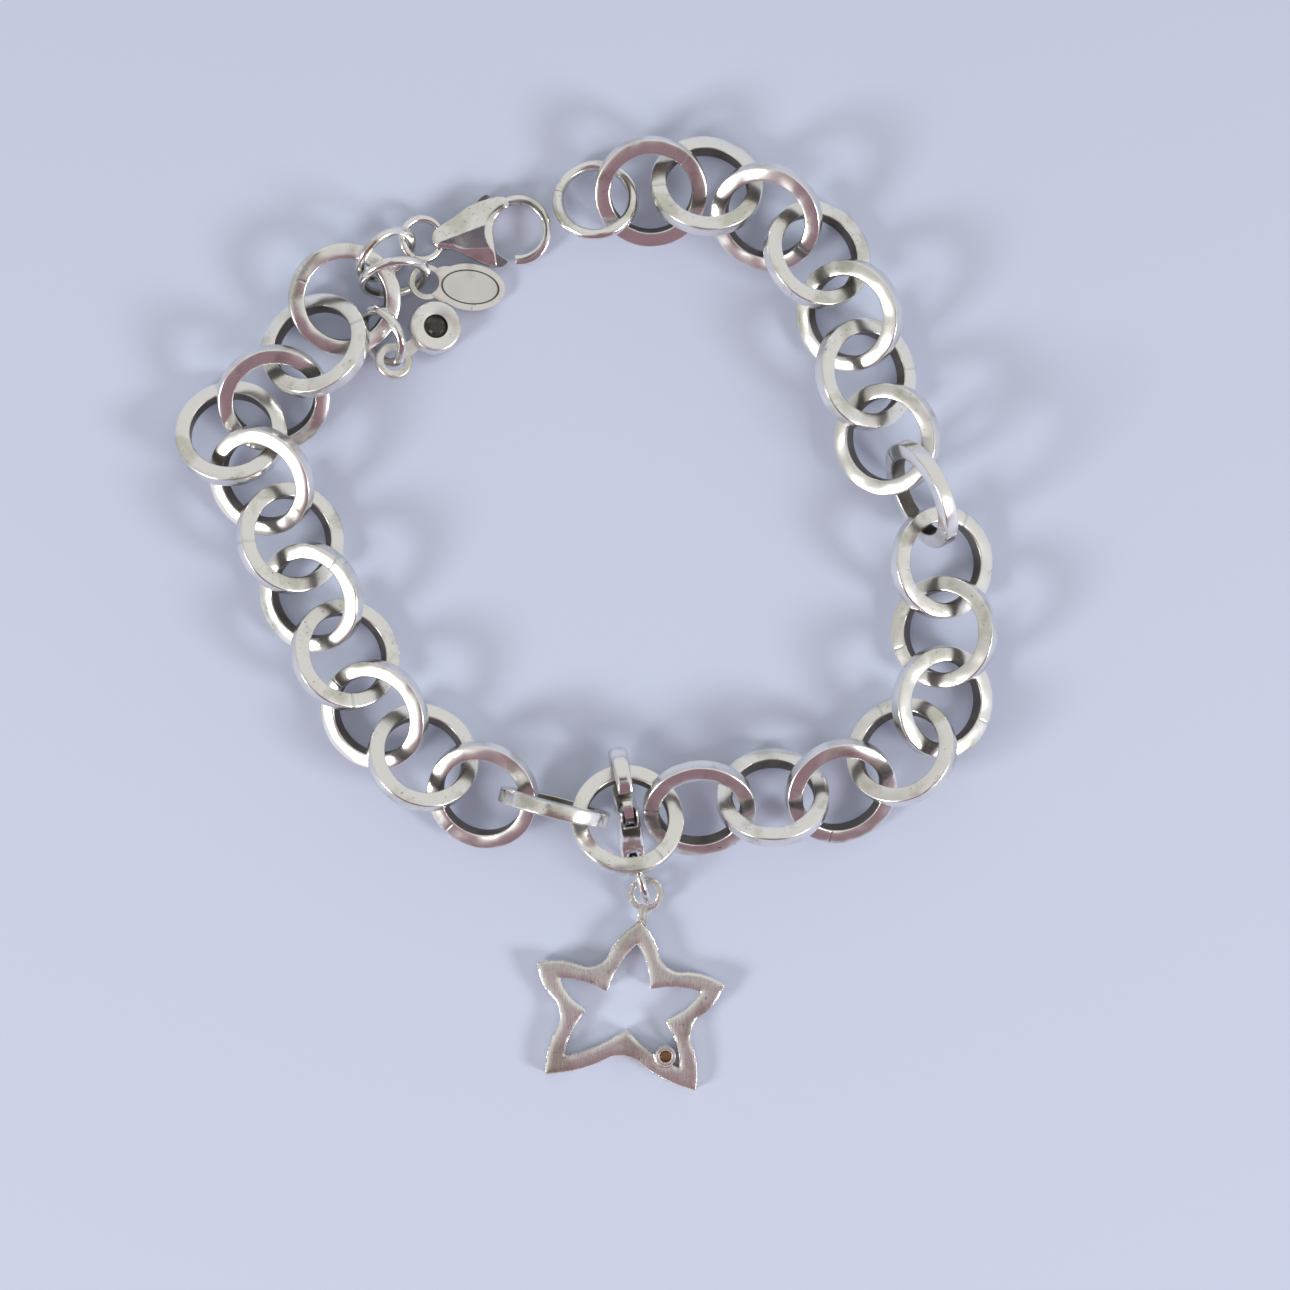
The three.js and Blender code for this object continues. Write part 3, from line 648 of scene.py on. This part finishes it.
# %% [markdown]
# ## Clasps
# Seen from its side, a clasp's body has a flat middle and slopes down to both edges, so its middle
# mirrors the dark patch overhead and its edges mirror the tent. Round the hook's hole its faces fall away
# too, as a rolled lip that catches the light. The walls of the slot that holds the lever get a painted
# shade. A lever has to swing in its slot, so its own faces are drawn in by a hair.

# %% Shape the clasp bodies
BODY_GRAIN = 0.055 * MILLIMETRE
BODY_WEAR = 6
LAST_WEAR = 4
CLASP_FLAT = 0.3
CLASP_EDGE = 0.3
SLOT_HALF = 0.52 * MILLIMETRE
SLOT_MARGIN = 1.15
TAIL_SHARE = 0.3
FLARE = 1.6
LIP_FALL = 0.22 * MILLIMETRE
LIP_REACH = 0.7 * MILLIMETRE


def clasp_place(node, joint):
    origin, axis = Vector(joint["pos_m"]), Vector(joint["axis"]).normalized()
    reaches = [Vector(point) - origin for point in points_of(node)]
    flat = np.array([reach - reach.project(axis) for reach in reaches])
    along = Vector(np.linalg.svd(flat - flat.mean(axis=0), full_matrices=False)[2][0])
    if (flat @ np.array(along)).mean() < 0:
        along.negate()
    along = (along - along.project(axis)).normalized()
    turned = Matrix((along, axis.cross(along), axis)).transposed().to_4x4()
    return Matrix.Translation(origin) @ turned


def slot_wall(place, normal):
    faces_in = -normal.z * math.copysign(1, place.z)
    return 1.0 if abs(place.z) < SLOT_MARGIN * SLOT_HALF and faces_in > 0.5 else 0.0


def shaped_clasp(node, joint):
    body = casting(node, BODY_GRAIN, BODY_WEAR)
    to_local = clasp_place(node, joint).inverted()
    body.data.transform(to_local)
    xs = [point.co.x for point in body.data.vertices]
    half = max(abs(point.co.y) for point in body.data.vertices)
    tail, length = min(xs), max(xs) - min(xs)
    hook_middle = max(xs) - half
    hole = min(math.hypot(point.co.x - hook_middle, point.co.y) for point in body.data.vertices)
    for point in body.data.vertices:
        share = (point.co.x - tail) / length
        here = half * min(TAIL_SHARE + FLARE * share, 1)
        slope = max(abs(point.co.y) / here - CLASP_FLAT, 0) / (1 - CLASP_FLAT)
        above = abs(point.co.z) - SLOT_HALF
        if above > 0:
            from_hole = (math.hypot(point.co.x - hook_middle, point.co.y) - hole) / LIP_REACH
            above -= LIP_FALL * (1 - min(from_hole, 1)) ** 2
            above *= 1 - (1 - CLASP_EDGE) * min(slope, 1)
            point.co.z = math.copysign(SLOT_HALF + above, point.co.z)
    applied(body, "SMOOTH", factor=0.5, iterations=LAST_WEAR)
    # Painted shade on the walls inside the lever's slot.
    note(body, "painted_shade", slot_wall)
    body.data.transform(to_local.inverted())
    finish(body, node, polished_silver)
    return body


joint_of = {joint["child"]: joint for joint in frame["joints"]}
for name in ("clasp", "carrier"):
    made = shaped_clasp(name + "_body", joint_of[name + "_lever_body"])
    print(made.name, "faces:", len(made.data.polygons))

# %% Levers
LEVER_GRAIN = 0.04 * MILLIMETRE
LEVER_WEAR = 14
LEVER_SLACK = 0.06 * MILLIMETRE

for name in ("clasp", "carrier"):
    lever = casting(name + "_lever", LEVER_GRAIN, LEVER_WEAR)
    applied(lever, "DISPLACE", strength=-LEVER_SLACK, mid_level=0)
    finish(lever, name + "_lever", polished_silver)
    print(lever.name, "faces:", len(lever.data.polygons))

# %% [markdown]
# ## Tag
# The tag is an oval plate that runs by broad shoulders into an eye at one end. A thin engraved line goes
# round its field, which is left bare. A drum stretched to an oval gives the plate, a second drum its
# shoulders and a third one, with a hole, its eye. A thin ring is cut away for the line.

# %% Places of flat pieces
def flat_place(node, axis, towards):
    points = points_of(node)
    axis = Vector(axis).normalized()
    if axis.z < 0:
        axis.negate()
    along = (Vector(towards) - Vector(towards).project(axis)).normalized()
    turned = Matrix((along, axis.cross(along), axis)).transposed()
    local = np.array([turned.inverted() @ Vector(point) for point in points])
    low, high = local.min(axis=0), local.max(axis=0)
    return turned, low, high


def drum(name, radius, depth, at=(0, 0, 0), sides=72):
    bpy.ops.object.select_all(action="DESELECT")
    bpy.ops.mesh.primitive_cylinder_add(vertices=sides, radius=radius, depth=depth, location=at)
    made = bpy.context.object
    made.name = name
    fixed(made)
    return made


def combine(piece, other, operation):
    applied(piece, "BOOLEAN", object=other, operation=operation, solver="EXACT")
    bpy.data.objects.remove(other)


print("helpers for flat pieces are ready")

# %% Tag plate
TAG_LENGTH = 5.3 * MILLIMETRE
TAG_WIDTH = 3.5 * MILLIMETRE
TAG_THICKNESS = 0.75 * MILLIMETRE
TAG_BORDER = 0.5 * MILLIMETRE
TAG_SHOULDER = 1.35 * MILLIMETRE
TAG_SHOULDER_PLACE = 0.6
TAG_EYE_HOLE = 1.85 * MILLIMETRE
TAG_EYE_RIM = 0.38 * MILLIMETRE
TAG_BRIDGE = 0.22 * MILLIMETRE

tag = drum("tag_plate", TAG_WIDTH / 2, TAG_THICKNESS)
tag.scale = (TAG_LENGTH / TAG_WIDTH, 1, 1)
fixed(tag)
shoulder_at = (TAG_SHOULDER * TAG_SHOULDER_PLACE - TAG_LENGTH / 2, 0, 0)
combine(tag, drum("shoulder", TAG_SHOULDER, TAG_THICKNESS, shoulder_at), "UNION")
print("tag plate faces:", len(tag.data.polygons))

# %% Tag's eye
EYE_SIDES = 48
EYE_SHARE = 0.92
EDGE_SOFTNESS = 0.07 * MILLIMETRE


def softened(piece):
    sharp = math.radians(40)
    applied(piece, "BEVEL", width=EDGE_SOFTNESS, segments=3, limit_method="ANGLE", angle_limit=sharp)
    smooth(piece)


eye_at = (-(TAG_LENGTH / 2 - TAG_BORDER + TAG_BRIDGE + TAG_EYE_HOLE / 2), 0, 0)
eye_reach = TAG_EYE_HOLE / 2 + TAG_EYE_RIM
combine(tag, drum("eye", eye_reach, TAG_THICKNESS * EYE_SHARE, eye_at, EYE_SIDES), "UNION")
combine(tag, drum("hole", TAG_EYE_HOLE / 2, 2 * TAG_THICKNESS, eye_at, EYE_SIDES), "DIFFERENCE")
softened(tag)
print("plate and eye faces:", len(tag.data.polygons))

# %% Engraved line round the tag's field
TAG_GROOVE = 0.05 * MILLIMETRE
GROOVE_SHARE = 0.05
FIELD_SHARE = 0.97
FIELD_GREY = 0.5

field_length, field_width = TAG_LENGTH / 2 - TAG_BORDER, TAG_WIDTH / 2 - TAG_BORDER
bpy.ops.object.select_all(action="DESELECT")
bpy.ops.mesh.primitive_torus_add(
    major_radius=field_width, minor_radius=TAG_GROOVE, major_segments=96, minor_segments=10
)
groove = bpy.context.object
groove.location = (0, 0, TAG_THICKNESS / 2)
groove.scale = (field_length / field_width, 1, 1)
fixed(groove)
combine(tag, groove, "DIFFERENCE")


def field_share(place):
    return math.hypot(place.x / field_length, place.y / field_width)


def in_groove(place, normal):
    deep = 0 < place.z < TAG_THICKNESS / 2 - 0.4 * TAG_GROOVE
    return 1.0 if deep and abs(field_share(place) - 1) < GROOVE_SHARE else 0.0


def in_field(place, normal):
    return FIELD_GREY if place.z > 0 and field_share(place) < FIELD_SHARE else 0.0


smooth(tag)
applied(tag, "WEIGHTED_NORMAL", keep_sharp=True)
# Painted shade in the engraved line.
note(tag, "painted_shade", in_groove)
note(tag, "solder", in_field)
print("points in the engraved line:", sum(in_groove(point.co, None) > 0 for point in tag.data.vertices))

# %% Lay the tag in its place
plate_points = points_of("tag")
plate_axis = np.linalg.svd(plate_points - plate_points.mean(axis=0), full_matrices=False)[2][2]
outwards = Vector(plate_points.mean(axis=0)) - Vector(points_of("tag_ring").mean(axis=0))
turned, low, high = flat_place("tag", plate_axis, outwards)
centre = turned @ Vector((high[0] - TAG_LENGTH / 2, (low[1] + high[1]) / 2, (low[2] + high[2]) / 2))
put(tag, Matrix.Translation(centre) @ turned.to_4x4())
finish(tag, "tag", satin_silver)
print("tag faces:", len(tag.data.polygons))

# %% [markdown]
# ## Stone drop
# A small stone sits deep in a thick round bezel, and a soldered eye carries it. The bezel is a drum whose
# top is inset and lowered for its dished rim, and pushed down inside for the seat. Its two outer edges
# are rounded in turn, because rounding both at once would take the side wall's edges along.

# %% Size of the bezel, from the model
BEZEL_DISH = 0.16 * MILLIMETRE
BEZEL_ROUND = 0.28 * MILLIMETRE
BEZEL_EYE_HOLE = 1.66 * MILLIMETRE
BEZEL_EYE_RIM = 0.58 * MILLIMETRE
BEZEL_EYE_THICKNESS = 0.8 * MILLIMETRE
BEZEL_EYE_ROUND = 0.26 * MILLIMETRE
BEZEL_NECK = 0.58 * MILLIMETRE
BEZEL_SEAT_DEPTH = 0.5
SEAT_ROOM = 1.04
EYE_FROM = 2.6 * MILLIMETRE

stone_points = points_of("bezel_stone")
stone_centre = Vector(stone_points.mean(axis=0))
stone_axis = np.linalg.svd(stone_points - np.array(stone_centre), full_matrices=False)[2][2]
far_points = [Vector(point) - stone_centre for point in points_of("bezel_charm")]
far_points = [point for point in far_points if point.length > EYE_FROM]
turned, low, high = flat_place("bezel_charm", stone_axis, sum(far_points, Vector()) / len(far_points))
stone_local = turned.inverted() @ stone_centre
stone_flat = np.array([turned.inverted() @ (Vector(point) - stone_centre) for point in stone_points])
stone_reach = np.linalg.norm(stone_flat[:, :2], axis=1).max()
bezel_reach = stone_local.x - low[0]
bezel_height = high[2] - low[2]
bezel_sizes = [round(size / MILLIMETRE, 2) for size in (bezel_reach, bezel_height)]
print("bezel radius and height in mm:", bezel_sizes)

# %% Shape the bezel
bezel = drum("stone_bezel", bezel_reach, bezel_height, (0, 0, bezel_height / 2))
seat = stone_reach * SEAT_ROOM
edit(bezel, lambda place: place.z > bezel_height / 2)
bpy.ops.mesh.inset(thickness=bezel_reach - seat)
bpy.ops.transform.translate(value=(0, 0, -BEZEL_DISH))
seat_depth = (0, 0, -BEZEL_SEAT_DEPTH * bezel_height)
bpy.ops.mesh.extrude_region_move(TRANSFORM_OT_translate={"value": seat_depth})
edit(bezel, lambda place: place.z > bezel_height - TOUCHING)
bpy.ops.mesh.bevel(offset=BEZEL_ROUND, segments=5, affect="EDGES")
edit(bezel, lambda place: place.z < TOUCHING)
bpy.ops.mesh.bevel(offset=BEZEL_ROUND, segments=5, affect="EDGES")
leave()
print("bezel faces:", len(bezel.data.polygons))

# %% Bezel's eye
NECK_WIDTH_SHARE = 1.7
NECK_HEIGHT_SHARE = 0.9

eye_reach = BEZEL_EYE_HOLE / 2 + BEZEL_EYE_RIM
eye_at = (bezel_reach + BEZEL_NECK + eye_reach, 0, BEZEL_EYE_THICKNESS / 2)
bpy.ops.object.select_all(action="DESELECT")
neck_at = (bezel_reach + BEZEL_NECK / 2, 0, BEZEL_EYE_THICKNESS / 2)
bpy.ops.mesh.primitive_cube_add(size=1, location=neck_at)
neck = bpy.context.object
neck_width = NECK_WIDTH_SHARE * BEZEL_NECK
neck.scale = (2 * BEZEL_NECK, neck_width, NECK_HEIGHT_SHARE * BEZEL_EYE_THICKNESS)
fixed(neck)
combine(bezel, neck, "UNION")
eye = drum("eye", eye_reach, BEZEL_EYE_THICKNESS, eye_at, EYE_SIDES)
applied(eye, "BEVEL", width=BEZEL_EYE_ROUND, segments=5, limit_method="ANGLE")
combine(bezel, eye, "UNION")
hole = drum("hole", BEZEL_EYE_HOLE / 2, 4 * BEZEL_EYE_THICKNESS, eye_at, EYE_SIDES)
combine(bezel, hole, "DIFFERENCE")
softened(bezel)
applied(bezel, "WEIGHTED_NORMAL", keep_sharp=True)


def seat_wall(place, normal):
    deep = place.z < bezel_height - 1.5 * BEZEL_DISH
    return 1.0 if deep and place.xy.length < 1.02 * seat else 0.0


# Painted shade on the walls of the seat round the stone.
note(bezel, "painted_shade", seat_wall)
centre = turned @ Vector((stone_local.x, stone_local.y, low[2]))
put(bezel, Matrix.Translation(centre) @ turned.to_4x4())
finish(bezel, "bezel_charm", satin_silver)
print("bezel and eye faces:", len(bezel.data.polygons))

# %% [markdown]
# ## Cutting the stones
# A cut stone has a flat table, a slope of facets down to its widest line, and more facets below. A cone
# with its top cut off gives the upper facets, and its base is pushed down and narrowed for the lower
# ones.

# %% Cut the stones
STONE_SIDES = 12
TABLE_SHARE = 0.6
FOOT_SHARE = 0.5
RIM_SHARE = 0.4


def cut_stone(node, material):
    points = points_of(node)
    centre = points.mean(axis=0)
    axis = np.linalg.svd(points - centre, full_matrices=False)[2][2]
    turned, low, high = flat_place(node, axis, (1, 0, 0))
    depth, reach = high[2] - low[2], (high[0] - low[0]) / 2
    crown = RIM_SHARE * depth
    bpy.ops.object.select_all(action="DESELECT")
    crown_at = (0, 0, -crown / 2)
    table = reach * TABLE_SHARE
    bpy.ops.mesh.primitive_cone_add(
        vertices=STONE_SIDES, radius1=reach, radius2=table, depth=crown, location=crown_at
    )
    gem = bpy.context.object
    gem.name = "cut_" + node
    fixed(gem)
    edit(gem, lambda place: place.z < -crown / 2)
    bpy.ops.mesh.extrude_region_move(TRANSFORM_OT_translate={"value": (0, 0, crown - depth)})
    bpy.ops.transform.resize(value=(FOOT_SHARE, FOOT_SHARE, 1))
    leave()
    top = turned @ Vector(((low[0] + high[0]) / 2, (low[1] + high[1]) / 2, high[2]))
    put(gem, Matrix.Translation(top) @ turned.to_4x4())
    finish(gem, node, material)
    return gem


for node, material in (("bezel_stone", dark_stone), ("star_stone", brown_stone)):
    print(cut_stone(node, material).name, "is cut with", STONE_SIDES, "sides")

# %% [markdown]
# ## Star
# The star is an open frame cast in one piece with its eye and a tiny bezel. Its face is brushed and a
# little bowed, from the upper arms to the lower ones, and it falls away at both rims of the frame. So it
# is rebuilt as a casting, and each point is then lowered by its place and by how near it lies to the
# closest wall. A tree of the wall's points finds that wall quickly. How high they lie hardly counts in it,
# so the distance is measured across the face.

# %% Cast the star
STAR_GRAIN = 0.065 * MILLIMETRE
STAR_WEAR = 5
STAR_FALL = 0.06 * MILLIMETRE
STAR_BOW = 0.32 * MILLIMETRE
STAR_FALL_REACH = 0.5 * MILLIMETRE
WALL_WEIGHT = 0.01

star = casting("star", STAR_GRAIN, STAR_WEAR)
count = len(star.data.vertices)
places, normals = np.empty(3 * count), np.empty(3 * count)
star.data.vertices.foreach_get("co", places)
star.data.vertices.foreach_get("normal", normals)
places, normals = places.reshape(-1, 3), normals.reshape(-1, 3)
print("star points:", count)

# %% Bow the star and lower its rims
walls = [place for place, normal in zip(places, normals) if abs(normal[2]) < 0.5]
rim = KDTree(len(walls))
for number, (x, y, z) in enumerate(walls):
    rim.insert((x, y, z * WALL_WEIGHT), number)
rim.balance()
star_middle, star_half = places[:, 1].mean(), np.ptp(places[:, 1]) / 2
for place, normal in zip(places, normals):
    distance = rim.find((place[0], place[1], place[2] * WALL_WEIGHT))[2]
    fall = STAR_FALL * (1 - min(distance / STAR_FALL_REACH, 1)) ** 2
    if normal[2] > 0:
        fall += STAR_BOW * ((place[1] - star_middle) / star_half) ** 2
    if abs(normal[2]) > 0.5:
        place[2] -= math.copysign(fall, normal[2])
star.data.vertices.foreach_set("co", places.ravel())
applied(star, "SMOOTH", factor=0.5, iterations=LAST_WEAR)
finish(star, "star", brushed_silver)
print("star faces:", len(star.data.polygons))

# %% [markdown]
# ## Finish
# The finished pieces have to stay inside the model's box.

# %% Finish
import json
